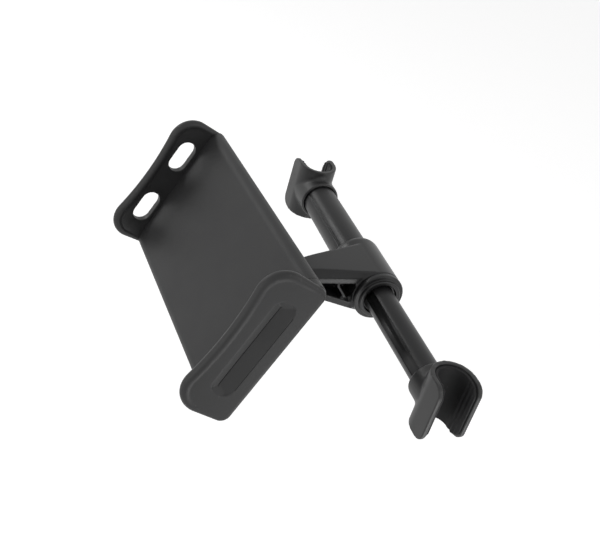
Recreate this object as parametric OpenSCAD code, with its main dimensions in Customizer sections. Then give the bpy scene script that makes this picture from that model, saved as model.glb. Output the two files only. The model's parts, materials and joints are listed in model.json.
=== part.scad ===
// Headrest phone and tablet holder for a car's rear seat.
// A sprung telescopic bar grips the two headrest posts from between them,
// an arm turns on the bar, and a ball joint carries a cradle with a sprung jaw.
// +X runs along the bar from the fixed hook to the sliding hook, +Z runs up the posts,
// and the cradle faces the rear passenger towards -Y.

/* [Bar] */
// Distance between the two headrest posts with the bar at full reach
post_pitch = 161.3; // [150:0.1:170]
// How far the sliding hook can be pushed in
bar_travel = 35; // [20:1:36]
// Diameter of the sliding rod
rod_d = 13; // [12:0.5:13.5]
// Bore of the outer tube
tube_bore = 13.8; // [13.8:0.2:14.2]
// Outer diameter of the tube where it leaves the fixed hook
tube_d_hook = 16.4; // [16.2:0.2:17]
// Outer diameter of the tube at the hub, a little more from the moulding draft
tube_d_hub = 16.9; // [16.8:0.1:17.4]
// Outer diameter of the journal that the arm turns on
journal_d = 15.8; // [15.4:0.2:16]
// Width of the keyway along the rod
key_w = 2.8; // [2:0.2:3.4]
// Depth of the keyway along the rod
key_depth = 1.2; // [0.8:0.1:1.6]
// Angle of the keyway round the bar, from +Z towards the cradle
key_angle = 62; // [0:1:90]

/* [Hooks] */
// Width of the channel that a headrest post sits in, between the rubber faces
channel_w = 12.6; // [10:0.2:14]
// Height of the hooks along the post
hook_h = 27; // [20:1:32]
// How far the legs of a hook reach past the post's axis
hook_reach = 8; // [7:0.5:13]
// Wall of the hook shell
hook_wall = 1.9; // [1.6:0.1:2.6]
// Thickness of the rubber liner
pad_t = 1.4; // [1:0.1:2]
// Outer diameter of the boss behind the fixed hook
fixed_boss_d = 19.2; // [18.6:0.2:20]
// Outer diameter of the boss behind the sliding hook
sliding_boss_d = 18; // [16.6:0.2:19]
// Length of the fixed hook's boss behind its channel
fixed_boss_len = 4.7; // [4:0.1:12]
// Length of the sliding hook's boss behind its channel
sliding_boss_len = 4; // [3.4:0.1:12]

/* [Hub and arm] */
// Distance from the fixed hook's post to the shoulder that the arm runs against
hub_shoulder_x = 62.3; // [54:0.1:68]
// Outer diameter of the arm's barrel
barrel_d = 23; // [22.4:0.1:26]
// Length of the arm's barrel along the bar
barrel_len = 29.2; // [24:0.1:30]
// Distance from the bar's axis to the centre of the ball
arm_len = 55; // [50:1:70]
// How far the ball is offset along the bar from the barrel's middle
ball_offset = 5.4; // [0:0.2:8]
// Diameter of the ball
ball_d = 17; // [16:0.5:17.5]
// Diameter of the neck behind the ball
neck_d = 7.6; // [6.5:0.1:7.8]
// Wall of the arm below its side pockets
arm_wall = 2.9; // [2:0.1:3.4]
// Width of the bevel along the arm's upper edges
arm_bevel = 2.5; // [1.5:0.1:3]

/* [Ball joint] */
// Outer diameter of the ball socket's threaded sleeve
sleeve_d = 24.6; // [24:0.2:26]
// Diameter of the socket's flange on the back of the cradle
flange_d = 34; // [32:1:40]
// Outer diameter of the lock nut
nut_d = 31; // [30:0.5:34]
// Number of finger grips round the lock nut
nut_grips = 14; // [10:1:20]

/* [Cradle] */
// Outer length of the cradle at its face, with the sliding jaw closed
cradle_len = 130.3; // [128:0.1:150]
// Width of the cradle
cradle_w = 65.2; // [64:0.1:72]
// Thickness of the cradle's body
body_t = 8; // [8:0.1:9]
// Distance from the ball's centre to the face that the phone rests on
face_to_ball = 23.5; // [23:0.1:26]
// Wall of the front cover
cover_wall = 1.6; // [1.4:0.1:2]
// Radius of the long front edges
edge_r = 4; // [4:0.1:5]
// Wall of the two jaws
jaw_wall = 3.4; // [3:0.1:4]
// Height of the jaws' two ears above the face
ear_h = 17; // [16:0.1:20]
// Height of the jaws between their ears
jaw_mid_h = 15.3; // [12:0.1:15.6]
// Radius of the ears' outer corners
ear_r = 10.5; // [7:0.5:11]
// Angle that the jaws lean in over the phone
jaw_lean = 5.5; // [0:0.5:8]
// How far the sliding jaw pulls out
jaw_travel = 60; // [40:1:62]
// Angle that the cradle's face leans back
cradle_tilt = 26; // [0:1:30]
// Angle that the cradle is turned in its own plane
cradle_spin = 3.7; // [-20:0.1:20]

/* [Jaw details] */
// Length of each slot through the fixed jaw
slot_len = 15.4; // [10:0.2:18]
// Width of each slot through the fixed jaw
slot_w = 8.5; // [5:0.1:9]
// Distance from the middle of the jaw to the middle of a slot
slot_offset = 14.4; // [12:0.2:16]
// Length of the finger grip in the sliding jaw
grip_len = 44; // [30:1:48]
// Width of the finger grip in the sliding jaw
grip_w = 9.4; // [6:0.2:10]
// Depth of the finger grip's crease
grip_depth = 1.7; // [1:0.1:2]

/* [Hidden] */
$fn = 64;

// Clearances
run_gap = 0.06;
seat_gap = 0.03;
face_gap = 0.15;
screw_gap = 0.2;
over = 1;

// Hook channel
liner_r = channel_w / 2;
shell_in_r = liner_r + pad_t;
shell_out_r = shell_in_r + hook_wall;
tip_round = 4.5;
pad_inset = 0.7;
rib_groove_r = 1.5;
rib_groove_depth = 0.35;
rib_first = 2;
rib_pitch = 2.4;
boss_chamfer = 0.5;
boss_mouth_len = 1.6;
socket_floor = 0.8;
fixed_boss_end = shell_out_r + fixed_boss_len;
sliding_boss_end = shell_out_r + sliding_boss_len;

// Screws that hold the hooks
hook_screw_d = 3.4;
hook_screw_head_d = 6.2;
hook_screw_head_t = 1.3;
hook_screw_len = 8.6;

// Tube and hub, measured along the bar from the fixed hook's post
tube_seat_x = shell_out_r + socket_floor;
tube_seat_d = tube_d_hook - 0.9;
tube_plug_t = 6.6;
tube_x0 = fixed_boss_end - boss_mouth_len;
tube_groove_end = 0.6;
tube_groove_w = 0.9;
tube_groove_depth = 0.45;
bush_flange_t = 1;
bush_flange_d = tube_d_hub + 1.7;
bush_wall = 1;
barrel_x0 = hub_shoulder_x + face_gap;
barrel_round_len = 3;
barrel_round_h = (barrel_d - bush_flange_d) / 2 - 0.5;
seam_edge = 0.4;
barrel_x1 = barrel_x0 + barrel_len;
barrel_bore_d = journal_d + 2 * (run_gap + bush_wall);
hub_mid_x = (barrel_x0 + barrel_x1) / 2;
tube_end_x = barrel_x1 + 0.4;
collar_lip_t = 2;
collar_skirt_len = 4.2;
collar_end_x = tube_end_x + collar_lip_t + 1.8;
collar_flange_x = barrel_x1 + face_gap;
collar_shelf_x = collar_flange_x + 2.6;
collar_rim_d = barrel_d - 4;
collar_mouth_d = rod_d + 2.2;
collar_skirt_wall = 0.8;
bush_end_x = tube_end_x - collar_skirt_len - 0.5;

// Rod
guide_len = 24;
guide_land_a = 7;
guide_land_b = 5;
guide_waist = 0.7;
guide_x1 = tube_end_x - 0.05;
guide_x0 = guide_x1 - guide_len;
rod_tail_d = 9;
rod_end_x = post_pitch - shell_out_r - socket_floor;
sliding_boss_x = post_pitch - sliding_boss_end;
key_gap = 0.2;
key_runout = 8;
key_end_x = min(sliding_boss_x - over, tube_end_x + collar_lip_t + bar_travel + key_runout);

// Coil spring in the bar, with as many turns as the rod leaves room for when it is pushed in
bar_wire = 1.4;
bar_coil_r = 5;
bar_spring_x0 = tube_seat_x + tube_plug_t;
bar_turns = floor((guide_x0 - bar_spring_x0 - bar_travel) / bar_wire);

// Ball joint, measured from the ball's centre towards the cradle's face
ball_x = hub_mid_x + ball_offset;
ball_gap = 0.08;
socket_back = face_to_ball - body_t;
flange_t = 2.6;
sleeve_end = -0.5;
cup_end = -4.2;
cup_mouth_r = 10.2;
slot_cut_w = 1.6;
slot_cut_depth = 4;
nut_front = 9;
nut_rear = -7.5;
nut_mouth_r = 11;
nut_chamfer = 1.2;
grip_groove_r = 1.9;
grip_groove_out = 1.1;

// Cradle, along its length from the fixed jaw to the sliding jaw
half_len = cradle_len / 2;
half_w = cradle_w / 2;
jaw_seat = half_len - jaw_wall;
jaw_block_len = 3.3;
seam_x = jaw_seat - jaw_block_len;
cover_start = -jaw_seat + seat_gap;
rear_floor_t = 1.6;
split_n = -5.2;
rear_edge_r = body_t - edge_r;
rear_corner = 1.5;
wall_in = half_w - cover_wall;
ceiling_n = -cover_wall;
floor_n = -body_t + rear_floor_t;
bead_r = jaw_wall / 2 + 0.35;
sunk = 0.6;

// Foot of the fixed jaw, clamped between the two covers
foot_len = 7;
foot_t = 2.6;
foot_gap = 40;
spring_slot_w = 5.2;
jaw_stop_gap = 0.5;

// Two springs of the sliding jaw: each is hung on a post of the rear cover and on a pin of the jaw
spring_v = half_w - 10.75;
spring_n = -4.35;
spring_span = 25.5;
jaw_wire = 0.8;
jaw_coil_r = 1.35;
post_u = cover_start + 8.35;
post_r = 1.15;
loop_r = post_r + face_gap + jaw_wire / 2;

// Tongue of the sliding jaw and the rails that it runs between
tongue_w = 2 * spring_v - 7;
tongue_top = -2.2;
tongue_bottom = -4.6;
lug_len = 3;
lug_top = -3.3;
tongue_tail = post_u + spring_span - lug_len / 2;
rail_t = 1.2;
rail_u = tongue_tail - 4;
rail_len = 26;
rail_step = (seam_x - 2 - rail_len - rail_u) / 2;
rail_v = tongue_w / 2 - 3;
side_rail_t = 1;
stop_len = 2;
stop_w = 4.4;
loop_n = tongue_bottom - face_gap - jaw_wire / 2;

// Screws of the cradle
cover_screw_v = half_w - 5.4;
cover_screw_d = 2.4;
cover_head_d = 4.8;
cover_head_t = 1.2;
cover_screw_len = 5.6;
front_boss_r = 2.7;
rear_boss_r = front_boss_r + 0.3;
rear_boss_h = 1.4;
cover_screw_u = [cover_start + rear_boss_r + 2.85, 0, seam_x - 8.5];
socket_screw_r = 14;
socket_screw_d = 2.2;
socket_head_d = 4.2;
socket_head_t = 1.2;
socket_screw_grip = 2.1;

// A cylinder along X between two places
module rod_x(x0, x1, r0, r1 = undef) {
    translate([x0, 0, 0]) rotate([0, 90, 0])
        cylinder(h = x1 - x0, r1 = r0, r2 = r1 == undef ? r0 : r1);
}

// Moves from the cradle's own frame, with the ball's centre at its origin, to the part's frame
module at_ball() {
    translate([ball_x, -arm_len, 0]) rotate([90 - cradle_tilt, 0, 0]) children();
}

// Moves from the face of the cradle to the part's frame
module at_cradle() {
    at_ball() rotate([0, 0, cradle_spin]) translate([0, 0, face_to_ball]) children();
}

// Points of a helix swept round a wire, used for the coil spring of the bar
function helix_pos(t, turns, r, len) =
    let (a = 360 * turns * t)
    [len * t, r * cos(a), r * sin(a)];
function helix_ring(t, turns, r, len, wire_r, sides) =
    let (p = helix_pos(t, turns, r, len), a = 360 * turns * t)
    [for (k = [0:sides - 1]) let (b = 360 * k / sides)
        p + wire_r * (cos(b) * [0, cos(a), sin(a)] + sin(b) * [1, 0, 0])];

module helix_wire(turns, r, len, wire_r, sides = 8, per_turn = 14) {
    rings = turns * per_turn;
    pts = [for (i = [0:rings]) each helix_ring(i / rings, turns, r, len, wire_r, sides)];
    walls = [for (i = [0:rings - 1], k = [0:sides - 1])
        let (a = i * sides + k, b = i * sides + (k + 1) % sides)
        [a, b, b + sides, a + sides]];
    polyhedron(pts, concat([[for (k = [sides - 1:-1:0]) k]], walls,
                           [[for (k = [0:sides - 1]) rings * sides + k]]));
}

/* Hooks */

// The channel's plan: round at the back, open towards -X
module channel_plan(r) {
    circle(r);
    translate([-hook_reach - over, -r]) square([hook_reach + over, 2 * r]);
}

// A leg's side view, with its two free corners rounded
module hook_side(top, reach, back) {
    h = hook_h - 2 * top;
    translate([(back - reach) / 2, 0]) {
        translate([tip_round / 2, 0]) square([back + reach - tip_round, h], center = true);
        square([back + reach, h - 2 * tip_round], center = true);
        for (z = [-1, 1])
            translate([tip_round - (back + reach) / 2, z * (h / 2 - tip_round)]) circle(tip_round);
    }
}

module hook_shell(boss_end, boss_d, socket_d, mouth_d) {
    socket_x = shell_out_r + socket_floor;
    difference() {
        union() {
            intersection() {
                translate([0, 0, -hook_h / 2]) linear_extrude(hook_h) union() {
                    circle(shell_out_r);
                    translate([-hook_reach, -shell_out_r]) square([hook_reach, 2 * shell_out_r]);
                }
                rotate([90, 0, 0]) translate([0, 0, -shell_out_r - over])
                    linear_extrude(2 * (shell_out_r + over)) hook_side(0, hook_reach, shell_out_r + over);
            }
            rod_x(0, boss_end - boss_chamfer, boss_d / 2);
            rod_x(boss_end - boss_chamfer, boss_end, boss_d / 2, boss_d / 2 - 0.6 * boss_chamfer);
        }
        translate([0, 0, -hook_h]) linear_extrude(2 * hook_h) channel_plan(shell_in_r);
        rod_x(socket_x, boss_end + over, socket_d / 2);
        rod_x(boss_end - boss_mouth_len, boss_end + over, mouth_d / 2);
        rod_x(0, socket_x + over, hook_screw_d / 2 + screw_gap);
        rod_x(0, shell_in_r + hook_screw_head_t + screw_gap, hook_screw_head_d / 2 + screw_gap);
    }
}

// The rubber liner: a smooth round back for the post and legs with low waves
module hook_pad() {
    difference() {
        intersection() {
            translate([0, 0, -hook_h / 2 + pad_inset]) linear_extrude(hook_h - 2 * pad_inset) difference() {
                union() {
                    circle(shell_in_r - seat_gap);
                    translate([-hook_reach, -shell_in_r + seat_gap])
                        square([hook_reach, 2 * (shell_in_r - seat_gap)]);
                }
                channel_plan(liner_r);
            }
            rotate([90, 0, 0]) translate([0, 0, -shell_out_r])
                linear_extrude(2 * shell_out_r)
                    hook_side(pad_inset, hook_reach - pad_inset, shell_out_r);
        }
        for (y = [-1, 1], i = [0:2])
            translate([-rib_first - i * rib_pitch, y * (liner_r + rib_groove_depth - rib_groove_r), -hook_h])
                cylinder(h = 2 * hook_h, r = rib_groove_r);
    }
}

module hook_screw() {
    rod_x(shell_in_r + 0.1, shell_in_r + hook_screw_head_t, hook_screw_head_d / 2);
    rod_x(shell_in_r + hook_screw_head_t, shell_in_r + hook_screw_len, hook_screw_d / 2);
}

module fixed_hook() {
    color("#2b2b2d") hook_shell(fixed_boss_end, fixed_boss_d, tube_seat_d + 2 * seat_gap, tube_d_hook + screw_gap);
}

module fixed_hook_pad() {
    color("#1d1d1e") hook_pad();
}

module fixed_hook_screw() {
    color("silver") hook_screw();
}

// The sliding hook is handed about the middle of the bar
module at_sliding_hook() {
    translate([post_pitch, 0, 0]) mirror([1, 0, 0]) children();
}

module sliding_hook() {
    color("#2b2b2d") at_sliding_hook()
        hook_shell(sliding_boss_end, sliding_boss_d, rod_d + 2 * seat_gap, rod_d + 2 * seat_gap);
}

module sliding_hook_pad() {
    color("#1d1d1e") at_sliding_hook() hook_pad();
}

module sliding_hook_screw() {
    color("silver") at_sliding_hook() hook_screw();
}

/* Bar */

module outer_tube() {
    color("#333335") difference() {
        union() {
            rod_x(tube_seat_x, tube_x0, tube_seat_d / 2);
            rod_x(tube_x0, hub_shoulder_x - face_gap, tube_d_hook / 2, tube_d_hub / 2);
            rod_x(hub_shoulder_x - face_gap, tube_end_x, journal_d / 2);
        }
        rod_x(tube_seat_x + tube_plug_t, tube_end_x + over, tube_bore / 2);
        rod_x(0, tube_seat_x + tube_plug_t - 0.6, hook_screw_d / 2 + seat_gap);
        rotate([key_angle, 0, 0])
            translate([tube_x0, -tube_groove_w / 2, tube_d_hook / 2 - tube_groove_depth])
                cube([hub_shoulder_x - tube_x0 - tube_groove_end, tube_groove_w, 2]);
    }
}

// End cap of the tube: it keeps the arm on its journal, stops the rod and carries the key
module tube_collar() {
    lip_x = tube_end_x;
    color("#29292b") union() {
        difference() {
            union() {
                rod_x(tube_end_x - collar_skirt_len, lip_x, journal_d / 2 + seat_gap + collar_skirt_wall);
                rod_x(collar_flange_x, collar_flange_x + seam_edge, barrel_d / 2 - seam_edge, barrel_d / 2);
                rod_x(collar_flange_x + seam_edge, collar_shelf_x - seam_edge, barrel_d / 2);
                rod_x(collar_shelf_x - seam_edge, collar_shelf_x, barrel_d / 2, barrel_d / 2 - seam_edge);
                rod_x(collar_shelf_x - over, collar_end_x - seam_edge, collar_rim_d / 2);
                rod_x(collar_end_x - seam_edge, collar_end_x, collar_rim_d / 2, collar_rim_d / 2 - seam_edge);
            }
            rod_x(tube_end_x - collar_skirt_len - over, lip_x, journal_d / 2 + seat_gap);
            rod_x(lip_x - over, collar_end_x + over, rod_d / 2 + run_gap);
            rod_x(lip_x + collar_lip_t, collar_end_x + over, collar_mouth_d / 2);
        }
        rotate([key_angle, 0, 0])
            translate([lip_x, -key_w / 2 + key_gap, rod_d / 2 - key_depth + key_gap])
                cube([collar_lip_t, key_w - 2 * key_gap, key_depth]);
    }
}

module inner_rod() {
    color("#333335") difference() {
        union() {
            rod_x(guide_x0, guide_x1, rod_tail_d / 2);
            rod_x(guide_x1, rod_end_x, rod_d / 2);
        }
        rotate([key_angle, 0, 0]) translate([guide_x1, -key_w / 2, rod_d / 2 - key_depth])
            cube([key_end_x - guide_x1, key_w, 2 * key_depth]);
        rod_x(post_pitch - shell_in_r - hook_screw_len - screw_gap, rod_end_x + over,
              hook_screw_d / 2 + seat_gap);
    }
}

// Long guide on the rod's tail: it slides in the tube and lands on the collar at full reach
module rod_guide() {
    color("#d8d5cc") difference() {
        union() {
            rod_x(guide_x0, guide_x0 + 1, tube_bore / 2 - guide_waist, tube_bore / 2 - run_gap);
            rod_x(guide_x0 + 1, guide_x0 + guide_land_a, tube_bore / 2 - run_gap);
            rod_x(guide_x0 + guide_land_a, guide_x1 - guide_land_b, tube_bore / 2 - guide_waist);
            rod_x(guide_x1 - guide_land_b, guide_x1, tube_bore / 2 - run_gap);
        }
        rod_x(guide_x0 - over, guide_x1 + over, rod_tail_d / 2 + seat_gap);
    }
}

module bar_spring() {
    len = guide_x0 - bar_spring_x0 - bar_wire - 0.1;
    color("silver") translate([bar_spring_x0 + bar_wire / 2 + 0.05, 0, 0])
        helix_wire(bar_turns, bar_coil_r, len, bar_wire / 2);
}

/* Arm */

// Half width and half height of the arm at t, from the neck at 0 to the bar at 1
arm_neck_y = arm_len - 15;
arm_neck_half = 5.4;
arm_flare = 1.6;
arm_inset = 0.6;
arm_edge = 0.8;
arm_rim = 1.9;
arm_web = 2.4;
arm_rib_t = 1.4;
arm_rib_angle = 39;
arm_rib_gap = 4.2;
// Drop of the rib's middle below the bar's axis (mm)
arm_rib_drop = 1.2;
// Where the side pockets begin, as a part of the way from the neck to the barrel
arm_pocket_start = 0.08;
neck_taper = 3;
function arm_half_w(t) = arm_neck_half + (barrel_len / 2 - arm_inset - arm_neck_half) * pow(t, arm_flare);
function arm_half_h(t) = arm_neck_half + (barrel_d / 2 - arm_neck_half) * pow(t, arm_flare);
function arm_mid_x(t) = hub_mid_x + ball_offset * (1 - t);
function arm_y(t) = -arm_neck_y * (1 - t);

// Cross-section with wide bevels above and nearly square edges below
function arm_section(t) =
    let (w = arm_half_w(t), h = arm_half_h(t), b = arm_bevel, e = arm_edge)
    [for (q = [[w - b, h], [w - e, h - b + e], [w, h - b - e], [w, -h + e], [w - e, -h],
               [-w + e, -h], [-w, -h + e], [-w, h - b - e], [-w + e, h - b + e], [-w + b, h]])
        [arm_mid_x(t) + q[0], arm_y(t), q[1]]];

module arm_beam() {
    steps = 14;
    n = len(arm_section(0));
    pts = [for (i = [0:steps]) each arm_section(i / steps)];
    walls = [for (i = [0:steps - 1], k = [0:n - 1])
        let (a = i * n + k, b = i * n + (k + 1) % n)
        [a, a + n, b + n, b]];
    polyhedron(pts, concat([[for (k = [0:n - 1]) k]], walls,
                           [[for (k = [n - 1:-1:0]) steps * n + k]]));
}

// Side pockets that follow the arm's flare, with a web left along its middle and one slanting rib
module arm_pockets() {
    pocket_end = 1 - (barrel_d / 2 + seam_edge) / arm_neck_y;
    steps = 8;
    ts = [for (i = [0:steps]) arm_pocket_start + (pocket_end - arm_pocket_start) * i / steps];
    top = [for (t = ts) [arm_y(t), arm_half_h(t) - arm_bevel - arm_rim]];
    bottom = [for (i = [steps:-1:0]) [arm_y(ts[i]), arm_wall - arm_half_h(ts[i])]];
    difference() {
        translate([barrel_x0 - over, 0, 0]) rotate([90, 0, 90])
            linear_extrude(barrel_len + 2 * over) polygon(concat(top, bottom));
        translate([0, 0, -barrel_d]) linear_extrude(2 * barrel_d)
            polygon([for (q = [[0, -1], [1, -1], [1, 1], [0, 1]])
                [arm_mid_x(q[0]) + q[1] * arm_web / 2, arm_y(q[0])]]);
        translate([hub_mid_x, -barrel_d / 2 - arm_rib_gap, -arm_rib_drop]) rotate([arm_rib_angle, 0, 0])
            cube([2 * barrel_len, arm_rib_t, 2 * barrel_d], center = true);
    }
}

// The barrel round the bar, well rounded at the end that the tube comes out of
module barrel() {
    r = barrel_d / 2;
    translate([barrel_x0, 0, 0]) rotate([0, 90, 0]) rotate_extrude() polygon(concat(
        [[0, 0]],
        [for (a = [0:15:90]) [r - barrel_round_h * (1 - sin(a)), barrel_round_len * (1 - cos(a))]],
        [[r, barrel_len - seam_edge], [r - seam_edge, barrel_len], [0, barrel_len]]));
}

module arm() {
    color("#3a3a3c") difference() {
        union() {
            barrel();
            difference() {
                arm_beam();
                arm_pockets();
            }
            translate([ball_x, -arm_neck_y + over, 0]) rotate([90, 0, 0])
                cylinder(h = arm_len - arm_neck_y - ball_d / 4, d = neck_d);
            translate([ball_x, -arm_neck_y, 0]) rotate([90, 0, 0])
                cylinder(h = neck_taper, r1 = arm_neck_half - arm_edge, r2 = neck_d / 2);
            translate([ball_x, -arm_len, 0]) sphere(d = ball_d);
        }
        rod_x(barrel_x0 - over, barrel_x1 + over, barrel_bore_d / 2);
        rod_x(barrel_x0 - over, hub_shoulder_x + bush_flange_t, bush_flange_d / 2 + seat_gap);
    }
}

module friction_bush() {
    flange_end = hub_shoulder_x + bush_flange_t;
    color("#333335") difference() {
        union() {
            rod_x(hub_shoulder_x, flange_end, bush_flange_d / 2);
            rod_x(flange_end, bush_end_x, barrel_bore_d / 2 - seat_gap);
        }
        rod_x(hub_shoulder_x - over, bush_end_x + over, journal_d / 2 + run_gap);
    }
}

/* Ball joint */

module lock_nut() {
    sleeve_r = sleeve_d / 2;
    color("#262628") at_ball() difference() {
        union() {
            translate([0, 0, nut_rear + nut_chamfer])
                cylinder(h = nut_front - nut_rear - 2 * nut_chamfer, d = nut_d);
            translate([0, 0, nut_rear])
                cylinder(h = nut_chamfer, d1 = nut_d - 2 * nut_chamfer, d2 = nut_d);
            translate([0, 0, nut_front - nut_chamfer])
                cylinder(h = nut_chamfer, d1 = nut_d, d2 = nut_d - 2 * nut_chamfer);
        }
        translate([0, 0, sleeve_end]) cylinder(h = nut_front - sleeve_end + over, r = sleeve_r + run_gap);
        translate([0, 0, cup_end - face_gap])
            cylinder(h = sleeve_end - cup_end + face_gap, r1 = cup_mouth_r, r2 = sleeve_r + run_gap);
        translate([0, 0, nut_rear - 0.01])
            cylinder(h = cup_end - nut_rear + 0.02, r1 = nut_mouth_r, r2 = cup_mouth_r);
        for (i = [0:nut_grips - 1]) rotate([0, 0, 360 * i / nut_grips])
            translate([nut_d / 2 + grip_groove_out, 0, nut_rear - over])
                cylinder(h = nut_front - nut_rear + 2 * over, r = grip_groove_r, $fn = 24);
    }
}

module ball_socket() {
    sleeve_r = sleeve_d / 2;
    color("#2f2f31") at_ball() rotate([0, 0, cradle_spin]) difference() {
        union() {
            translate([0, 0, socket_back - flange_t]) cylinder(h = flange_t - seat_gap, d = flange_d);
            translate([0, 0, sleeve_end]) cylinder(h = socket_back - flange_t - sleeve_end, r = sleeve_r);
            translate([0, 0, cup_end])
                cylinder(h = sleeve_end - cup_end, r1 = cup_mouth_r - face_gap, r2 = sleeve_r);
        }
        sphere(r = ball_d / 2 + ball_gap);
        for (a = [0, 90]) rotate([0, 0, a + 45])
            translate([0, 0, cup_end + (slot_cut_depth - cup_end) / 2 - over])
                cube([2 * sleeve_d, slot_cut_w, slot_cut_depth - cup_end + 2 * over], center = true);
        for (a = [0:90:270]) rotate([0, 0, a + 45])
            translate([socket_screw_r, 0, socket_back - socket_screw_grip])
                cylinder(h = socket_screw_grip + over, d = socket_screw_d + 2 * seat_gap);
    }
}

module socket_screws() {
    color("silver") at_cradle() for (a = [0:90:270]) rotate([0, 0, a + 45])
        translate([socket_screw_r, 0, 0]) {
            translate([0, 0, floor_n]) cylinder(h = socket_head_t, d = socket_head_d);
            translate([0, 0, -body_t - socket_screw_grip + screw_gap])
                cylinder(h = rear_floor_t + socket_screw_grip - screw_gap, d = socket_screw_d);
        }
}

/* Cradle */

// Top edge of a section, rounded at both sides, as points of width and height
function round_top(half, top, r) =
    [for (s = [1, -1], i = [0:9]) let (a = (s == 1 ? 0 : 90) + i * 10)
        [s * (half - r) + r * cos(a), top - r + r * sin(a)]];

// The closed section, from the back's small rounding to the front's large one
module closed_section() {
    back = [for (p = round_top(half_w, 0, rear_edge_r)) [-p[0], -body_t - p[1]]];
    polygon(concat(round_top(half_w, 0, edge_r), back));
}

// Extrudes a section of width and depth along the cradle between two places
module along_cradle(u0, u1) {
    translate([u0, 0, 0]) rotate([90, 0, 90]) linear_extrude(u1 - u0) children();
}

// The hollow between the two covers, or what fills it with a gap all round
module hollow_section(gap = 0) {
    half = wall_in - gap;
    low = floor_n + gap;
    polygon(concat(round_top(half, ceiling_n - gap, edge_r - cover_wall),
                   [[-half, low + rear_corner], [-half + rear_corner, low],
                    [half - rear_corner, low], [half, low + rear_corner]]));
}

module rear_cover() {
    color("#2e2e30") at_cradle() difference() {
        union() {
            intersection() {
                along_cradle(cover_start, seam_x) difference() {
                    closed_section();
                    hollow_section();
                }
                translate([-cradle_len, -cradle_w, -body_t - over])
                    cube([2 * cradle_len, 2 * cradle_w, body_t + over + split_n - seat_gap]);
            }
            for (s = [-1, 1]) {
                for (i = [0:2])
                    translate([rail_u + i * rail_step, s * rail_v - rail_t / 2, floor_n - sunk])
                        cube([rail_len, rail_t, tongue_bottom - floor_n + sunk - face_gap]);
                translate([tongue_tail + lug_len + jaw_travel + jaw_stop_gap, s * spring_v - stop_w / 2,
                           floor_n - sunk])
                    cube([stop_len, stop_w, lug_top - floor_n + sunk]);
                translate([post_u, s * spring_v, floor_n - sunk])
                    cylinder(h = loop_n + jaw_wire - floor_n + sunk, r = post_r);
            }
            for (u = cover_screw_u, s = [-1, 1])
                translate([u, s * cover_screw_v, floor_n - sunk])
                    cylinder(h = rear_boss_h + sunk, r = rear_boss_r);
        }
        for (u = cover_screw_u, s = [-1, 1]) translate([u, s * cover_screw_v, -body_t - over]) {
            cylinder(h = body_t, d = cover_screw_d + 2 * screw_gap);
            cylinder(h = over + cover_head_t + 0.1, d = cover_head_d + 2 * screw_gap);
        }
        for (a = [0:90:270]) rotate([0, 0, a + 45])
            translate([socket_screw_r, 0, -body_t - over])
                cylinder(h = body_t, d = socket_screw_d + screw_gap);
    }
}

module front_cover() {
    color("#48484a") at_cradle() difference() {
        union() {
            intersection() {
                along_cradle(cover_start, seam_x) difference() {
                    closed_section();
                    hollow_section();
                }
                translate([-cradle_len, -cradle_w, split_n]) cube([2 * cradle_len, 2 * cradle_w, body_t]);
            }
            for (s = [-1, 1]) {
                for (i = [0:2])
                    translate([rail_u + i * rail_step, s * rail_v - rail_t / 2, tongue_top + face_gap])
                        cube([rail_len, rail_t, ceiling_n - tongue_top]);
                for (i = [0:2])
                    translate([rail_u + i * rail_step,
                               s * (tongue_w / 2 + 0.3 + side_rail_t / 2) - side_rail_t / 2, lug_top + face_gap])
                        cube([rail_len, side_rail_t, ceiling_n - lug_top]);
            }
            for (u = cover_screw_u, s = [-1, 1])
                translate([u, s * cover_screw_v, floor_n + rear_boss_h + 0.05])
                    cylinder(h = ceiling_n - floor_n - rear_boss_h + sunk - 0.05, r = front_boss_r);
        }
        for (u = cover_screw_u, s = [-1, 1])
            translate([u, s * cover_screw_v, floor_n])
                cylinder(h = cover_screw_len - rear_floor_t + screw_gap, d = cover_screw_d + 2 * seat_gap);
    }
}

module cover_screws() {
    color("silver") at_cradle() for (u = cover_screw_u, s = [-1, 1])
        translate([u, s * cover_screw_v, -body_t + 0.1]) {
            cylinder(h = cover_head_t, d = cover_head_d);
            cylinder(h = cover_screw_len, d = cover_screw_d);
        }
}

/* Jaws */

// The jaws' upper edge: two ears with round outer corners and one long hollow arc between them
ear_v = half_w - ear_r;
ear_n = ear_h - ear_r;
saddle_q = jaw_mid_h - ear_n;
saddle_r = (ear_v * ear_v + saddle_q * saddle_q - ear_r * ear_r) / (2 * (ear_r - saddle_q));
saddle_a = asin(ear_v / (saddle_r + ear_r));

// The outline pulled in by a distance, as points of width and height
function jaw_outline(inset) =
    let (r = ear_r - inset, big = saddle_r + inset)
    concat([for (a = [0:7.5:90]) ear_v * [1, 0] + [r * cos(a), ear_n + r * sin(a)]],
           [for (i = [0:24]) let (a = saddle_a * (1 - i / 12))
               [big * sin(a), ear_n + saddle_q + saddle_r - big * cos(a)]],
           [for (a = [90:7.5:180]) -ear_v * [1, 0] + [r * cos(a), ear_n + r * sin(a)]]);

// Base of the jaws: the bead fades down their sides into a round edge as thick as the wall
foot_r = jaw_wall / 2;
base_bend = edge_r - foot_r;
base_n = -body_t + foot_r;
side_v = half_w - bead_r;

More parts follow.
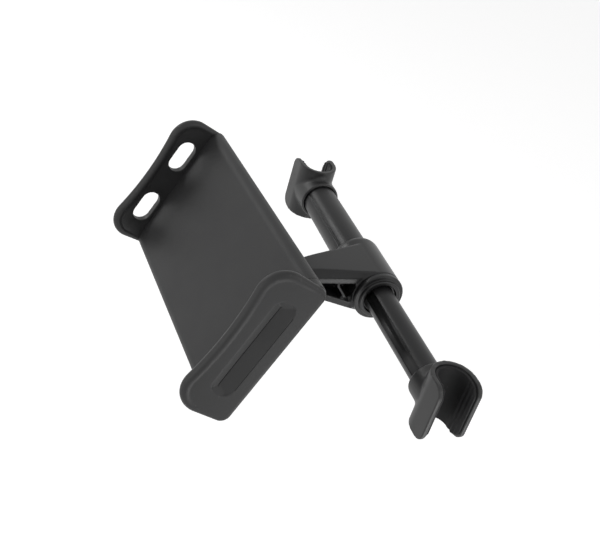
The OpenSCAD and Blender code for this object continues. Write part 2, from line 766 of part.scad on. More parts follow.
module jaw_edge() {
    r = ear_r - bead_r;
    for (s = [0, 1]) mirror([0, s, 0]) {
        translate([0, side_v, base_n + base_bend])
            cylinder(h = ear_n - base_n - base_bend, r1 = foot_r, r2 = bead_r);
        translate([0, ear_v, ear_n]) rotate([90, 0, 90])
            rotate_extrude(angle = 90 + saddle_a) translate([r, 0]) circle(bead_r, $fn = 32);
        translate([0, side_v - base_bend, base_n + base_bend]) rotate([90, 0, 90]) rotate([0, 0, 270])
            rotate_extrude(angle = 90) translate([base_bend, 0]) circle(foot_r, $fn = 32);
    }
    translate([0, 0, ear_n + saddle_q + saddle_r]) rotate([90, 0, 90]) rotate([0, 0, 270 - saddle_a])
        rotate_extrude(angle = 2 * saddle_a, $fn = 360) translate([saddle_r + bead_r, 0])
            circle(bead_r, $fn = 32);
    translate([0, side_v - base_bend, base_n]) rotate([90, 0, 0])
        cylinder(h = 2 * (side_v - base_bend), r = foot_r);
}

// A jaw, standing at the origin with its phone side towards -X and leaning in over the phone
module jaw_plate(grip = false) {
    corner = [for (a = [180:15:270])
        [-side_v + base_bend * (1 + cos(a)), base_n + base_bend * (1 + sin(a))]];
    rotate([0, -jaw_lean, 0]) difference() {
        union() {
            rotate([90, 0, 90]) linear_extrude(jaw_wall)
                polygon(concat(jaw_outline(bead_r), corner,
                               [for (i = [len(corner) - 1:-1:0]) [-corner[i][0], corner[i][1]]]));
            translate([jaw_wall / 2, 0, 0]) jaw_edge();
        }
        if (grip) finger_grip();
    }
}

// The finger grip: a long round-ended pocket with a sharp crease and sloping ends
grip_n = 3;
grip_crease_n = 4.3;
grip_ramp = 4;

module finger_grip() {
    floor_x = jaw_wall - grip_depth;
    out_x = jaw_wall + over;
    half = grip_len / 2;
    intersection() {
        translate([floor_x, 0, grip_n]) rotate([90, 0, 90]) linear_extrude(grip_depth + over) {
            square([grip_len - grip_w, grip_w], center = true);
            for (e = [-1, 1]) translate([e * (half - grip_w / 2), 0]) circle(grip_w / 2);
        }
        translate([0, half, 0]) rotate([90, 0, 0]) linear_extrude(grip_len)
            polygon([[floor_x, grip_crease_n], [jaw_wall, grip_n - grip_w / 2], [out_x, grip_n - grip_w / 2],
                     [out_x, grip_n + grip_w / 2], [jaw_wall, grip_n + grip_w / 2]]);
        translate([0, 0, grip_n - grip_w]) linear_extrude(2 * grip_w)
            polygon([[floor_x, grip_ramp - half], [jaw_wall, -half], [out_x, -half],
                     [out_x, half], [jaw_wall, half], [floor_x, half - grip_ramp]]);
    }
}

slot_base = 1.9;

module fixed_jaw() {
    color("#2e2e30") at_cradle() difference() {
        union() {
            translate([-jaw_seat, 0, 0]) mirror([1, 0, 0]) jaw_plate();
            along_cradle(-jaw_seat - foot_r, -jaw_seat) closed_section();
            difference() {
                along_cradle(-jaw_seat - over, -jaw_seat + foot_len) hollow_section(seat_gap);
                translate([-jaw_seat + foot_t, -foot_gap / 2, -body_t]) cube([foot_len, foot_gap, body_t]);
            }
        }
        for (s = [-1, 1]) {
            translate([-half_len - 2 * over, s * slot_offset, slot_base + slot_w / 2]) rotate([90, 0, 90])
                linear_extrude(jaw_wall + foot_len) {
                    square([slot_len - slot_w, slot_w], center = true);
                    for (e = [-1, 1]) translate([e * (slot_len - slot_w) / 2, 0]) circle(slot_w / 2);
                }
            translate([cover_screw_u[0], s * cover_screw_v, -body_t])
                cylinder(h = body_t, r = rear_boss_r + face_gap);
            translate([post_u - loop_r - jaw_wire, s * spring_v - spring_slot_w / 2, -body_t])
                cube([foot_len, spring_slot_w, body_t]);
        }
    }
}

module sliding_jaw() {
    lug_v = spring_v + jaw_coil_r;
    color("#2e2e30") at_cradle() union() {
        translate([jaw_seat, 0, 0]) jaw_plate(grip = true);
        along_cradle(seam_x + seat_gap, jaw_seat + foot_r) closed_section();
        translate([tongue_tail, -tongue_w / 2, tongue_bottom])
            cube([seam_x - tongue_tail + over, tongue_w, tongue_top - tongue_bottom]);
        for (s = [-1, 1]) {
            translate([tongue_tail, s == 1 ? tongue_w / 2 - 1 : -lug_v, tongue_bottom])
                cube([lug_len, lug_v - tongue_w / 2 + 1, lug_top - tongue_bottom]);
            translate([tongue_tail + lug_len / 2, s * spring_v, loop_n - jaw_wire / 2 - 0.1])
                cylinder(h = tongue_bottom - loop_n + jaw_wire + 0.1, r = post_r);
        }
    }
}

// A close-wound pull spring with a loop at each end
module jaw_spring(s) {
    hook_x = [post_u, tongue_tail + lug_len / 2];
    coils = floor((hook_x[1] - hook_x[0] - 2 * loop_r) / jaw_wire);
    x0 = (hook_x[0] + hook_x[1] - coils * jaw_wire) / 2;
    r_out = jaw_coil_r + jaw_wire / 2;
    r_in = r_out - jaw_wire * 0.45;
    profile = concat([[0, x0]], [for (i = [0:coils - 1]) let (x = x0 + i * jaw_wire) each
        [[r_in, x], [r_out, x + jaw_wire * 0.3], [r_out, x + jaw_wire * 0.7]]],
        [[r_in, x0 + coils * jaw_wire], [0, x0 + coils * jaw_wire]]);
    color("silver") at_cradle() translate([0, s * spring_v, 0]) {
        translate([0, 0, spring_n]) rotate([0, 90, 0]) rotate_extrude($fn = 24) polygon(profile);
        for (x = hook_x)
            translate([x, 0, loop_n]) rotate_extrude($fn = 32) translate([loop_r, 0]) circle(jaw_wire / 2, $fn = 12);
    }
}

module jaw_spring_upper() {
    jaw_spring(1);
}

module jaw_spring_lower() {
    jaw_spring(-1);
}

outer_tube();
tube_collar();
fixed_hook();
fixed_hook_pad();
fixed_hook_screw();
bar_spring();
inner_rod();
rod_guide();
sliding_hook();
sliding_hook_pad();
sliding_hook_screw();
arm();
friction_bush();
lock_nut();
ball_socket();
socket_screws();
rear_cover();
front_cover();
cover_screws();
fixed_jaw();
sliding_jaw();
jaw_spring_upper();
jaw_spring_lower();
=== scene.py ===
import bmesh
import bpy
import json
import math
from mathutils import Matrix, Vector


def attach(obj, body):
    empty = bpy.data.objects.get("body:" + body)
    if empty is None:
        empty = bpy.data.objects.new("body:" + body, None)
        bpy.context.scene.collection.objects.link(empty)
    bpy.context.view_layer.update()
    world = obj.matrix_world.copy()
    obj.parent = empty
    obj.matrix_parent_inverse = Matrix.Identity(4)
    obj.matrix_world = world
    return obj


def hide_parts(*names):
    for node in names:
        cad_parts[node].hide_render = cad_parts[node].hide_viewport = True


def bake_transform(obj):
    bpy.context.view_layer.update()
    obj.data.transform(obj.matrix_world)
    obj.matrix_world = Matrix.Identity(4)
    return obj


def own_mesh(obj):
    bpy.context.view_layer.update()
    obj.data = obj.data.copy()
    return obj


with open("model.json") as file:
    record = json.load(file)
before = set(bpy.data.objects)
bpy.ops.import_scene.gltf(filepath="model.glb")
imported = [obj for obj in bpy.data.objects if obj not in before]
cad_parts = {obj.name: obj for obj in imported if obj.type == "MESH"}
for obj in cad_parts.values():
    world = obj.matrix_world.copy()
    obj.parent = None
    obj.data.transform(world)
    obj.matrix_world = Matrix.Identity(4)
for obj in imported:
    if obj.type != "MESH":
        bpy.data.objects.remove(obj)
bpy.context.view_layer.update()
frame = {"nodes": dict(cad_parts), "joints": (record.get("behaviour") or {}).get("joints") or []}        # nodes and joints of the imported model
nodes = frame["nodes"]
joints = {joint["name"]: joint for joint in frame["joints"]}
mm = 0.001
print("frame loaded:", len(nodes), "nodes")


# Camera at the photograph's angle
cameraSetup = {
    "place": (0.38125, -0.19060, 0.21539),
    "right": (0.30475816, 0.91973806, 0.24739516),
    "up": (-0.59171624, -0.02070217, 0.80588046),
    "sensor": 36.0,
    "lens": 55.36,
    "nearest": 0.01,
}


def addCamera(setup):
    right = Vector(setup["right"]).normalized()
    up = Vector(setup["up"]).normalized()
    back = right.cross(up).normalized()
    cameraData = bpy.data.cameras.new("camera")
    cameraData.sensor_width = setup["sensor"]
    cameraData.lens = setup["lens"]
    cameraData.clip_start = setup["nearest"]
    camera = bpy.data.objects.new("camera", cameraData)
    turn = Matrix((right, up, back)).transposed().to_4x4()
    camera.matrix_world = Matrix.Translation(Vector(setup["place"])) @ turn
    bpy.context.scene.collection.objects.link(camera)
    bpy.context.scene.camera = camera


addCamera(cameraSetup)
bpy.context.scene.view_settings.view_transform = "Standard"
print("camera placed")


# Small helpers that wire shader nodes
def newNode(tree, kind, place, **settings):
    node = tree.nodes.new(kind)
    node.location = place
    for key, value in settings.items():
        setattr(node, key, value)
    return node


def setInputs(node, **values):
    for key, value in values.items():
        node.inputs[key.replace("_", " ")].default_value = value


def startMaterial(name):
    material = bpy.data.materials.new(name)
    material.use_nodes = True
    tree = material.node_tree
    tree.nodes.clear()
    output = newNode(tree, "ShaderNodeOutputMaterial", (900, 0))
    shader = newNode(tree, "ShaderNodeBsdfPrincipled", (600, 0))
    tree.links.new(shader.outputs["BSDF"], output.inputs["Surface"])
    coordinates = newNode(tree, "ShaderNodeTexCoord", (-900, 0))
    return material, tree, shader, coordinates.outputs["Object"]


def addNoise(tree, source, scale, place, detail=3.0, roughness=0.55):
    noise = newNode(tree, "ShaderNodeTexNoise", place)
    setInputs(noise, Scale=scale, Detail=detail, Roughness=roughness)
    tree.links.new(source, noise.inputs["Vector"])
    return noise.outputs["Fac"]


def spread(tree, source, low, high, place, fromLow=0.3, fromHigh=0.7):
    mapper = newNode(tree, "ShaderNodeMapRange", place)
    setInputs(mapper, From_Min=fromLow, From_Max=fromHigh, To_Min=low, To_Max=high)
    tree.links.new(source, mapper.inputs["Value"])
    return mapper.outputs["Result"]


def blendColors(tree, factor, first, second, place):
    mix = newNode(tree, "ShaderNodeMix", place, data_type="RGBA")
    mix.inputs["A"].default_value = (*first, 1)
    mix.inputs["B"].default_value = (*second, 1)
    tree.links.new(factor, mix.inputs["Factor"])
    return mix.outputs["Result"]


# Moulded plastics: a fine grain and faint flow marks, and corners painted a little lighter, a painted
# highlight that also stands for light wear.
# Gloss is the specular level, grain and marks are noise scales, and the corner lift is how much lighter a
# corner is painted.
plasticFinishes = {
    "facePlastic": {
        "dark": (0.0155, 0.0155, 0.01555), "light": (0.020, 0.020, 0.0205), "gloss": 0.29,
        "rough": (0.50, 0.60), "grain": 1900, "bump": 0.5, "marks": 60, "edge": 1.15},
    "jawPlastic": {
        "dark": (0.0175, 0.0175, 0.01755), "light": (0.023, 0.023, 0.0235), "gloss": 0.33,
        "rough": (0.44, 0.54), "grain": 2100, "bump": 0.4, "marks": 70, "edge": 1.5},
    "hubPlastic": {
        "dark": (0.011, 0.011, 0.0115), "light": (0.014, 0.014, 0.0145), "gloss": 0.31,
        "rough": (0.30, 0.37), "grain": 2800, "bump": 0.10, "marks": 70, "edge": 1.4},
    "barPlastic": {
        "dark": (0.012, 0.012, 0.0125), "light": (0.016, 0.016, 0.0165), "gloss": 0.24,
        "rough": (0.32, 0.40), "grain": 3200, "bump": 0.06, "marks": 90, "edge": 1.4},
    "hookPlastic": {
        "dark": (0.0155, 0.0155, 0.01555), "light": (0.020, 0.020, 0.0205), "gloss": 0.38,
        "rough": (0.38, 0.46), "grain": 2800, "bump": 0.12, "marks": 70, "edge": 1.5},
    "nutPlastic": {
        "dark": (0.016, 0.016, 0.0165), "light": (0.021, 0.021, 0.0215), "gloss": 0.38,
        "rough": (0.42, 0.52), "grain": 2800, "bump": 0.14, "marks": 70, "edge": 1.5},
    "linerRubber": {
        "dark": (0.009, 0.009, 0.0095), "light": (0.014, 0.014, 0.0145), "gloss": 0.22,
        "rough": (0.56, 0.68), "grain": 2000, "bump": 0.30, "marks": 120, "edge": 1.6},
    "bearingPlastic": {
        "dark": (0.58, 0.56, 0.50), "light": (0.64, 0.62, 0.56), "gloss": 0.45,
        "rough": (0.32, 0.42), "grain": 3200, "bump": 0.05, "marks": 80, "edge": 1.0},
}
grainDepth = 0.0001
cornerRange = (0.52, 0.60)    # the pointiness where the painted corner highlight starts and is full
plasticIor = 1.5


def makePlastic(name, finish):
    material, tree, shader, place = startMaterial(name)
    marks = addNoise(tree, place, finish["marks"], (-900, 200), detail=4.0)
    share = spread(tree, marks, 0, 1, (-600, 260))
    color = blendColors(tree, share, finish["dark"], finish["light"], (-300, 240))
    # painted highlight: corners are made lighter by pointiness, standing also for a little wear
    highlightedColor = newNode(tree, "ShaderNodeVectorMath", (0, 240), operation="SCALE")
    tree.links.new(color, highlightedColor.inputs[0])
    corners = newNode(tree, "ShaderNodeNewGeometry", (-900, 500))
    lift = spread(tree, corners.outputs["Pointiness"], 1.0, finish["edge"], (-600, 500), *cornerRange)
    tree.links.new(lift, highlightedColor.inputs["Scale"])
    tree.links.new(highlightedColor.outputs["Vector"], shader.inputs["Base Color"])
    tree.links.new(spread(tree, marks, *finish["rough"], (-300, 0)), shader.inputs["Roughness"])
    grain = addNoise(tree, place, finish["grain"], (-600, -200), detail=2.0, roughness=0.5)
    bump = newNode(tree, "ShaderNodeBump", (0, -200))
    setInputs(bump, Strength=finish["bump"], Distance=grainDepth)
    tree.links.new(grain, bump.inputs["Height"])
    tree.links.new(bump.outputs["Normal"], shader.inputs["Normal"])
    shader.inputs["IOR"].default_value = plasticIor
    shader.inputs["Specular IOR Level"].default_value = finish["gloss"]
    return material


steelFinish = {
    "dark": (0.50, 0.50, 0.49), "light": (0.62, 0.62, 0.60), "rough": (0.22, 0.36), "scratch": 900,
}


def makeSteel(name, finish):
    material, tree, shader, place = startMaterial(name)
    streaks = addNoise(tree, place, finish["scratch"], (-600, 200), detail=5.0)
    share = spread(tree, streaks, 0, 1, (-300, 260))
    color = blendColors(tree, share, finish["dark"], finish["light"], (0, 240))
    tree.links.new(color, shader.inputs["Base Color"])
    tree.links.new(spread(tree, streaks, *finish["rough"], (-300, 0)), shader.inputs["Roughness"])
    shader.inputs["Metallic"].default_value = 1.0
    return material


materials = {name: makePlastic(name, finish) for name, finish in plasticFinishes.items()}
materials["steel"] = makeSteel("steel", steelFinish)
print("materials made:", len(materials))


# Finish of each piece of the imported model
nodeFinishes = {
    "outer_tube": "barPlastic",
    "tube_collar": "hubPlastic",
    "inner_rod": "barPlastic",
    "fixed_hook": "hookPlastic",
    "sliding_hook": "hookPlastic",
    "fixed_hook_pad": "linerRubber",
    "sliding_hook_pad": "linerRubber",
    "fixed_hook_screw": "steel",
    "sliding_hook_screw": "steel",
    "bar_spring": "steel",
    "rod_guide": "bearingPlastic",
    "friction_bush": "barPlastic",
    "arm": "hubPlastic",
    "lock_nut": "nutPlastic",
    "ball_socket": "nutPlastic",
    "socket_screws": "steel",
    "rear_cover": "jawPlastic",
    "front_cover": "facePlastic",
    "cover_screws": "steel",
    "fixed_jaw": "jawPlastic",
    "sliding_jaw": "jawPlastic",
    "jaw_spring_upper": "steel",
    "jaw_spring_lower": "steel",
}


def paint(mesh, node):
    mesh.materials.clear()
    mesh.materials.append(materials[nodeFinishes[node]])


for name in nodeFinishes:
    paint(nodes[name].data, name)
print("finishes set:", len(nodeFinishes))


# Moulded pieces: fine copies of the solids, with edges and inner corners as a mould rounds them.
# Voxel and corner are in millimetres, rounds are smoothing passes, and keep is the share of faces kept.
softPieces = {
    "fixed_hook": {
        "body": "bar", "slot": "hook_plastic", "voxel": 0.28, "corner": 1.6, "rounds": 8, "keep": 0.5},
    "sliding_hook": {
        "body": "rod", "slot": "hook_plastic", "voxel": 0.28, "corner": 1.6, "rounds": 8, "keep": 0.5},
    "fixed_hook_pad": {
        "body": "bar", "slot": "liner_rubber", "voxel": 0.22, "corner": 0, "rounds": 9, "keep": 0.6},
    "sliding_hook_pad": {
        "body": "rod", "slot": "liner_rubber", "voxel": 0.22, "corner": 0, "rounds": 9, "keep": 0.6},
    "tube_collar": {
        "body": "bar", "slot": "hub_plastic", "voxel": 0.20, "corner": 0, "rounds": 4, "keep": 0.5},
    "outer_tube": {
        "body": "bar", "slot": "bar_plastic", "voxel": 0.32, "corner": 0, "rounds": 3, "keep": 0.4},
    "inner_rod": {
        "body": "rod", "slot": "bar_plastic", "voxel": 0.28, "corner": 0, "rounds": 4, "keep": 0.4},
    "friction_bush": {
        "body": "arm", "slot": "hub_plastic", "voxel": 0.20, "corner": 0, "rounds": 3, "keep": 0.4},
    "lock_nut": {
        "body": "nut", "slot": "nut_plastic", "voxel": 0.28, "corner": 0, "rounds": 6, "keep": 0.5},
    "fixed_jaw": {
        "body": "cradle", "slot": "jaw_plastic", "voxel": 0.25, "corner": 0, "rounds": 2, "keep": 0.4},
    "sliding_jaw": {
        "body": "jaw", "slot": "jaw_plastic", "voxel": 0.28, "corner": 0, "rounds": 2, "keep": 0.25},
}
smoothing = 0.5    # how far each pass moves a point towards its neighbours' middle


def addPiece(name, mesh):
    piece = bpy.data.objects.new(name, mesh)
    bpy.context.scene.collection.objects.link(piece)
    return piece


def remesh(piece, size):
    fine = piece.modifiers.new("fine", "REMESH")
    fine.mode = "VOXEL"
    fine.voxel_size = size


def push(piece, distance):
    shift = piece.modifiers.new("push", "DISPLACE")
    shift.strength = distance
    shift.mid_level = 0


def soften(piece, setup):
    size = setup["voxel"] * mm
    remesh(piece, size)
    if setup["corner"]:    # out and back in again leaves a fillet in every inner corner
        push(piece, setup["corner"] * mm)
        remesh(piece, size)
        push(piece, -setup["corner"] * mm)
        remesh(piece, size)
    smooth = piece.modifiers.new("smooth", "SMOOTH")
    smooth.factor = smoothing
    smooth.iterations = setup["rounds"]
    lighter = piece.modifiers.new("lighter", "DECIMATE")
    lighter.ratio = setup["keep"]


def applyAll(piece):
    graph = bpy.context.evaluated_depsgraph_get()
    mesh = bpy.data.meshes.new_from_object(piece.evaluated_get(graph))
    piece.modifiers.clear()
    piece.data = mesh
    mesh.shade_smooth()


def finishPiece(piece, node, setup):
    paint(piece.data, node)
    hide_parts(node)
    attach(piece, setup["body"])


def addMoulded(node, setup):
    piece = addPiece(node + "_moulded", nodes[node].data.copy())
    soften(piece, setup)
    applyAll(piece)
    finishPiece(piece, node, setup)
    return piece


moulded = {node: addMoulded(node, setup) for node, setup in softPieces.items()}
print("moulded pieces:", len(moulded))


# Fine lines of the finger grip, in millimetres across the sliding jaw's leaning plate
gripLines = {
    "seat": 61.75, "lean": 5.5, "faceToBall": 23.5,
    "crease": {"depth": (1.15, 2.4), "across": (4.15, 4.5), "half": 19.0},
    "rim": {"depth": (3.1, 3.6), "across": (-1.95, -1.65), "half": 17.5},
}


def jointAxis(name):
    return Vector(joints[name]["axis"]).normalized()


def gripPlace(setup):
    out = jointAxis("cradle_spin")
    along = jointAxis("jaw_slide")
    start = Vector(joints["cradle_spin"]["pos_m"]) + out * setup["faceToBall"] * mm
    turn = Matrix((along, out.cross(along), out)).transposed().to_4x4()
    seat = Matrix.Translation((setup["seat"] * mm, 0, 0))
    lean = Matrix.Rotation(-math.radians(setup["lean"]), 4, "Y")
    return Matrix.Translation(start) @ turn @ seat @ lean


def cutWith(piece, cutter):    # takes the cutter out of the piece, and removes the cutter
    cut = piece.modifiers.new("cut", "BOOLEAN")
    cut.operation = "DIFFERENCE"
    cut.solver = "EXACT"
    cut.object = cutter
    applyAll(piece)
    bpy.data.objects.remove(cutter)


def cutBox(piece, ranges, place):    # the box is three ranges in millimetres
    shape = bmesh.new()
    bmesh.ops.create_cube(shape, size=1)
    size = Matrix.Diagonal([(high - low) * mm for low, high in ranges] + [1])
    middle = Matrix.Translation([(low + high) / 2 * mm for low, high in ranges])
    bmesh.ops.transform(shape, matrix=place @ middle @ size, verts=shape.verts)
    mesh = bpy.data.meshes.new("cutter")
    shape.to_mesh(mesh)
    shape.free()
    cutWith(piece, addPiece("cutter", mesh))


for line in (gripLines["crease"], gripLines["rim"]):
    ranges = [line["depth"], (-line["half"], line["half"]), line["across"]]
    cutBox(moulded["sliding_jaw"], ranges, gripPlace(gripLines))
print("finger grip cut")


# The rod's keyway, in millimetres: it runs into the hook's boss and is wider than the collar's key
rodKeyway = {"along": (92.0, 151.0), "across": (-3.1, 1.4), "depth": (5.1, 7.0), "angle": 62}


def cutKeyway(rod, setup):
    turn = Matrix.Rotation(math.radians(setup["angle"]), 4, "X")
    cutBox(rod, [setup["along"], setup["across"], setup["depth"]], turn)


cutKeyway(moulded["inner_rod"], rodKeyway)
print("keyway cut")


def copySpring(node):
    piece = addPiece(node + "_coils", nodes[node].data.copy())
    paint(piece.data, node)
    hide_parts(node)
    return piece


def addBarSpring():
    piece = copySpring("bar_spring")
    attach(piece, "bar")
    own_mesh(piece)


def addJawSpring(node):
    along = jointAxis("jaw_slide")
    piece = copySpring(node)
    reach = [along.dot(corner.co) for corner in piece.data.vertices]
    middle = sum((corner.co for corner in piece.data.vertices), Vector()) / len(reach)
    middle -= along * along.dot(middle)
    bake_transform(piece)


addBarSpring()
for name in ("jaw_spring_upper", "jaw_spring_lower"):
    addJawSpring(name)
print("springs set")


# Arm: flanges, web and rib between the barrel on the bar and the ball, in millimetres, as one moulding.
# Its beam runs from y = -reach at the neck to y = 0 at the bar's axis.
armSetup = {
    "body": "arm", "slot": "hub_plastic", "voxel": 0.28, "corner": 0.7, "rounds": 7, "keep": 0.55,
    "reach": 40.0, "steps": 28,
    "along": (0.0, 0.12, 0.26, 0.5, 0.75, 1.0),    # where each line below is given, neck to bar
    "top": (6.0, 7.7, 8.9, 9.85, 10.7, 11.5),
    "under": (-5.4, -4.9, -4.9, -6.9, -9.4, -11.4),
    "topLeft": (79.3, 77.4, 76.0, 73.4, 70.8, 68.2),
    "topRight": (84.9, 85.5, 86.4, 88.1, 90.0, 91.2),
    "sideLeft": (77.05, 74.8, 73.3, 70.8, 68.2, 65.8),
    "sideRight": (87.85, 88.3, 89.1, 90.3, 91.3, 91.5),
    "edgeDrop": 3.0, "rim": 3.0, "underRim": 3.9, "underDraft": 1.1, "web": 2.4, "webSunk": 1.0,
}
ribSetup = {"place": (-14.7, -2.2), "angle": 40, "width": 1.4, "half": 6.4, "inset": (1.0, 0.9)}
pocketSetup = {    # the blocks that close the beam's open sides at both ends
    "barEnd": -10.4, "barInset": (0.4, 0), "barDrop": (0.5, 3), "barLap": 0.4,
    "neckEnds": (0, 0.05, 0.1), "neckInset": (0.2, 0.2), "neckDrop": (0.6, 2.6), "neckShift": 0.1,
}
barrelSetup = {
    "start": 62.6, "length": 29.2, "radius": 11.5, "bore": 8.96, "boreOver": 3, "round": (3.0, 1.7),
    "roundStep": 15, "chamfer": 0.4, "flangeRadius": 9.4, "flangeDepth": 0.8,
}
ballSetup = {
    "place": (82.45, -55.0), "radius": 8.38, "neck": 3.8, "steps": 24,
    "stem": ((12.0, 3.8), (15.2, 5.0), (15.6, 0.01)),    # distance from the ball's middle, radius
}
poleRadius = 0.01
poleGap = 0.03


def between(values, setup, t):
    places = setup["along"]
    for i in range(len(places) - 1):
        if t <= places[i + 1]:
            share = (t - places[i]) / (places[i + 1] - places[i])
            return values[i] + (values[i + 1] - values[i]) * share
    return values[-1]


def eased(name, setup, t, reach=0.07):    # rounds off the bends of a line
    spots = [max(0.0, min(1.0, t + reach * k / 2)) for k in (-2, -1, 0, 1, 2)]
    return sum(between(setup[name], setup, spot) for spot in spots) / 5


def loft(rings):
    count = len(rings[0])
    points = [point for ring in rings for point in ring]
    faces = [tuple(range(count))[::-1]]
    for i in range(len(rings) - 1):
        for k in range(count):
            a, b = i * count + k, i * count + (k + 1) % count
            faces.append((a, b, b + count, a + count))
    faces.append(tuple(range(len(points) - count, len(points))))
    return points, faces


def lathe(profile, origin, axis, steps=96):
    points, faces = [], []
    for i in range(steps):
        turn = 2 * math.pi * i / steps
        for along, radius in profile:
            across = (radius * math.cos(turn), radius * math.sin(turn))
            if axis == "X":
                points.append((origin[0] + along, origin[1] + across[0], origin[2] + across[1]))
            else:
                points.append((origin[0] + across[1], origin[1] + along, origin[2] + across[0]))
    count = len(profile)
    for i in range(steps):
        for k in range(count):
            a, b = i * count + k, i * count + (k + 1) % count
            c = ((i + 1) % steps) * count
            faces.append((a, b, c + (k + 1) % count, c + k))
    return points, faces


def armLofts(setup):
    top, under, web = [], [], []
    for i in range(setup["steps"] + 1):
        t = i / setup["steps"]
        y = -setup["reach"] * (1 - t)
        zTop, zUnder = eased("top", setup, t), eased("under", setup, t)
        left, right = eased("topLeft", setup, t), eased("topRight", setup, t)
        sideLeft, sideRight = eased("sideLeft", setup, t), eased("sideRight", setup, t)
        drop = zTop - setup["edgeDrop"]
        rim = max(drop - setup["rim"], (zTop + zUnder) / 2)
        lip = min(zUnder + setup["underRim"], (zTop + zUnder) / 2)
        middle = (left + right) / 2
        half = setup["web"] / 2
        draft = setup["underDraft"]
        sunk = zUnder + setup["webSunk"]
        top.append([(left, y, zTop), (right, y, zTop), (sideRight, y, drop), (sideRight, y, rim),
                    (sideLeft, y, rim), (sideLeft, y, drop)])
        under.append([(sideLeft, y, lip), (sideRight, y, lip),
                      (sideRight - draft, y, zUnder), (sideLeft + draft, y, zUnder)])
        web.append([(middle - half, y, drop), (middle + half, y, drop),
                    (middle + half, y, sunk), (middle - half, y, sunk)])
    return [loft(top), loft(under), loft(web)]


def armSides(setup, t, inset):    # the beam's left and right side, moved in
    return eased("sideLeft", setup, t) + inset[0], eased("sideRight", setup, t) - inset[1]


def armHeights(setup, t, drop):    # the beam's lower and upper line, moved in
    return eased("under", setup, t) + drop[0], eased("top", setup, t) - drop[1]


def armRib(setup, rib):
    lean = math.radians(rib["angle"])
    y, z = rib["place"]
    half, wide = rib["half"], rib["width"] / 2
    corners = [(-wide, -half), (wide, -half), (wide, half), (-wide, half)]
    ring = [(y - a * math.cos(lean) - b * math.sin(lean),
             z - a * math.sin(lean) + b * math.cos(lean)) for a, b in corners]
    sides = armSides(setup, 1 + y / setup["reach"], rib["inset"])
    return loft([[(x, a, b) for a, b in ring] for x in sides])


def armEnd(setup, pocket, barrel):
    outer = pocket["barEnd"]
    inner = -barrel["bore"] - pocket["barLap"]
    t = 1 + outer / setup["reach"]
    zUnder, zTop = armHeights(setup, t, pocket["barDrop"])
    ring = [(outer, zUnder), (inner, zUnder), (inner, zTop), (outer, zTop)]
    return loft([[(x, a, b) for a, b in ring] for x in armSides(setup, t, pocket["barInset"])])


def armStart(setup, pocket):
    rings = []
    for t in pocket["neckEnds"]:
        y = pocket["neckShift"] - setup["reach"] * (1 - t)
        zUnder, zTop = armHeights(setup, t, pocket["neckDrop"])
        low, high = armSides(setup, t, pocket["neckInset"])
        rings.append([(low, y, zUnder), (high, y, zUnder), (high, y, zTop), (low, y, zTop)])
    return loft(rings)


def armBarrel(barrel):
    length, radius, bore = barrel["length"], barrel["radius"], barrel["bore"]
    chamfer, flange, depth = barrel["chamfer"], barrel["flangeRadius"], barrel["flangeDepth"]
    long, high = barrel["round"]
    turns = [math.radians(angle) for angle in range(0, 91, barrel["roundStep"])]
    outer = [(long * (1 - math.cos(turn)), radius - high * (1 - math.sin(turn))) for turn in turns]
    inner = [(length - chamfer, radius), (length, radius - chamfer), (length, bore),
             (depth, bore), (depth, flange), (0, flange)]
    return lathe(outer + inner, (barrel["start"], 0, 0), "X")


def armNeck(ball):
    x, y = ball["place"]
    radius, neck = ball["radius"], ball["neck"]
    start = math.asin(neck / radius)
    turns = [math.pi * k / ball["steps"] for k in range(1, ball["steps"] + 1)]
    bulge = [(-radius * math.cos(turn), radius * math.sin(turn))
             for turn in turns if turn < math.pi - start]
    stem = [(radius * math.cos(start), neck)] + list(ball["stem"])
    return lathe([(-radius, poleRadius)] + bulge + stem, (x, y, 0), "Y")


def joined(name, shells):
    points, faces = [], []
    for shellPoints, shellFaces in shells:
        first = len(points)
        points += [(x * mm, y * mm, z * mm) for x, y, z in shellPoints]
        faces += [tuple(first + k for k in face) for face in shellFaces]
    mesh = bpy.data.meshes.new(name)
    mesh.from_pydata(points, [], faces)
    mesh.update()
    return addPiece(name, mesh)


def faceOutwards(shell):
    points, faces = shell
    shape = bmesh.new()
    corners = [shape.verts.new(point) for point in points]
    for face in faces:
        shape.faces.new([corners[k] for k in face])
    bmesh.ops.remove_doubles(shape, verts=shape.verts, dist=poleGap)    # closes the poles of a lathe
    bmesh.ops.recalc_face_normals(shape, faces=shape.faces)
    shape.verts.index_update()
    result = ([tuple(corner.co) for corner in shape.verts],
              [tuple(corner.index for corner in face.verts) for face in shape.faces])
    shape.free()
    return result


def cutBore(piece, barrel):    # clears the beam's flanges out of the barrel's bore
    over, bore = barrel["boreOver"], barrel["bore"]
    length = barrel["length"] + 2 * over
    profile = [(0, poleRadius), (0, bore), (length, bore), (length, poleRadius)]
    shell = lathe(profile, (barrel["start"] - over, 0, 0), "X")
    cutWith(piece, joined("boreCutter", [faceOutwards(shell)]))


def buildArm(setup, rib, pocket, barrel, ball):
    beam = [joined("beam", [faceOutwards(shell)]) for shell in armLofts(setup)]
    for part in beam:
        cutBore(part, barrel)
    shells = (armStart(setup, pocket), armRib(setup, rib), armEnd(setup, pocket, barrel),
              armBarrel(barrel), armNeck(ball))
    rest = joined("armRest", [faceOutwards(shell) for shell in shells])
    shape = bmesh.new()
    for part in beam + [rest]:
        shape.from_mesh(part.data)
        bpy.data.objects.remove(part)
    mesh = bpy.data.meshes.new("arm_moulded")
    shape.to_mesh(mesh)
    shape.free()
    arm = addPiece("arm_moulded", mesh)
    soften(arm, setup)
    applyAll(arm)
    finishPiece(arm, "arm", setup)
    return arm


arm = buildArm(armSetup, ribSetup, pocketSetup, barrelSetup, ballSetup)
print("arm built:", len(arm.data.polygons), "faces")


# Pale floor far below the holder, which hangs between two posts in use.
# Lift is a glow where the floor is seen, so it reads as white and still shows a shadow.
floorSetup = {
    "height": -0.16, "size": 6.0, "color": (0.85, 0.85, 0.85), "rough": 0.9, "lift": 0.46,
}


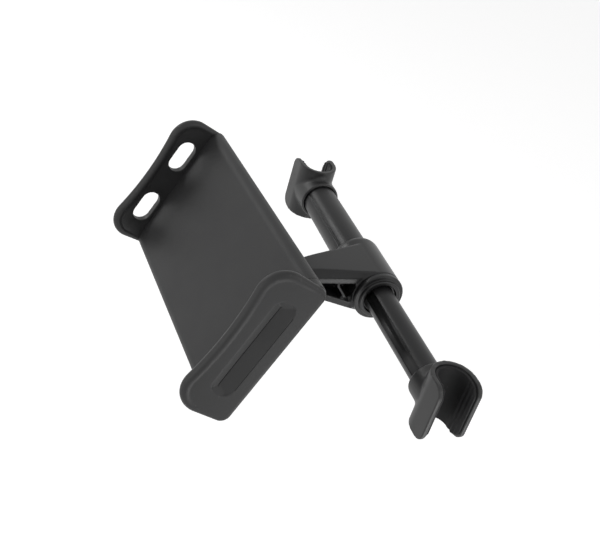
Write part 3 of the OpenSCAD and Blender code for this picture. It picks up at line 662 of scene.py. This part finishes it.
def whenSeen(tree, place):    # 1 where the camera, a glossy or a clear surface looks at it
    path = newNode(tree, "ShaderNodeLightPath", place)
    first = newNode(tree, "ShaderNodeMath", (place[0] + 200, place[1]), operation="MAXIMUM")
    second = newNode(tree, "ShaderNodeMath", (place[0] + 400, place[1]), operation="MAXIMUM")
    tree.links.new(path.outputs["Is Camera Ray"], first.inputs[0])
    tree.links.new(path.outputs["Is Glossy Ray"], first.inputs[1])
    tree.links.new(first.outputs[0], second.inputs[0])
    tree.links.new(path.outputs["Is Transmission Ray"], second.inputs[1])
    return second.outputs[0]


def addFloor(setup):
    half = setup["size"] / 2
    corners = [(-half, -half), (half, -half), (half, half), (-half, half)]
    mesh = bpy.data.meshes.new("floor")
    mesh.from_pydata([(x, y, setup["height"]) for x, y in corners], [], [(0, 1, 2, 3)])
    floor = addPiece("floor", mesh)
    material, tree, shader, place = startMaterial("paleFloor")
    shader.inputs["Base Color"].default_value = (*setup["color"], 1)
    shader.inputs["Roughness"].default_value = setup["rough"]
    shader.inputs["Emission Color"].default_value = (1, 1, 1, 1)
    strength = newNode(tree, "ShaderNodeMath", (300, -200), operation="MULTIPLY")
    strength.inputs[1].default_value = setup["lift"]
    tree.links.new(whenSeen(tree, (-400, -200)), strength.inputs[0])
    tree.links.new(strength.outputs[0], shader.inputs["Emission Strength"])
    mesh.materials.append(material)


addFloor(floorSetup)


# Soft studio light: a pale room, three soft boxes and a small low one for the arm's lower rim.
# The room lights the holder with light, and it is seen with background.
roomLight = {"light": 0.5, "background": 1.0}
softBoxes = {
    "keyBox": {
        "place": (-0.70, -0.58, 0.42), "aim": (0.08, -0.05, 0.0), "size": (0.3, 0.3), "power": 1.7},
    "sideBox": {
        "place": (0.75, 0.65, 0.45), "aim": (0.08, -0.03, 0.0), "size": (0.6, 0.9), "power": 2.2},
    "frontBox": {
        "place": (0.35, -1.0, 0.25), "aim": (0.08, -0.05, 0.0), "size": (0.8, 0.5), "power": 2.4},
    "lowBox": {
        "place": (0.30, 0.05, -0.133), "aim": (0.09, -0.02, 0.0), "size": (0.08, 0.12), "power": 0.15},
}


def addRoom(setup):
    world = bpy.data.worlds.new("room")
    bpy.context.scene.world = world
    world.use_nodes = True
    tree = world.node_tree
    tree.nodes.clear()
    output = newNode(tree, "ShaderNodeOutputWorld", (600, 0))
    strength = newNode(tree, "ShaderNodeMapRange", (0, 200))
    setInputs(strength, To_Min=setup["light"], To_Max=setup["background"])
    tree.links.new(whenSeen(tree, (-800, 200)), strength.inputs["Value"])
    background = newNode(tree, "ShaderNodeBackground", (300, 0))
    background.inputs["Color"].default_value = (1, 1, 1, 1)
    tree.links.new(strength.outputs["Result"], background.inputs["Strength"])
    tree.links.new(background.outputs["Background"], output.inputs["Surface"])


def addSoftBox(name, box):
    light = bpy.data.lights.new(name, "AREA")
    light.shape = "RECTANGLE"
    light.size, light.size_y = box["size"]
    light.energy = box["power"]
    lamp = bpy.data.objects.new(name, light)
    place = Vector(box["place"])
    lamp.location = place
    lamp.rotation_euler = (Vector(box["aim"]) - place).to_track_quat("-Z", "Y").to_euler()
    bpy.context.scene.collection.objects.link(lamp)


addRoom(roomLight)
for name, box in softBoxes.items():
    addSoftBox(name, box)
print("light and floor set")
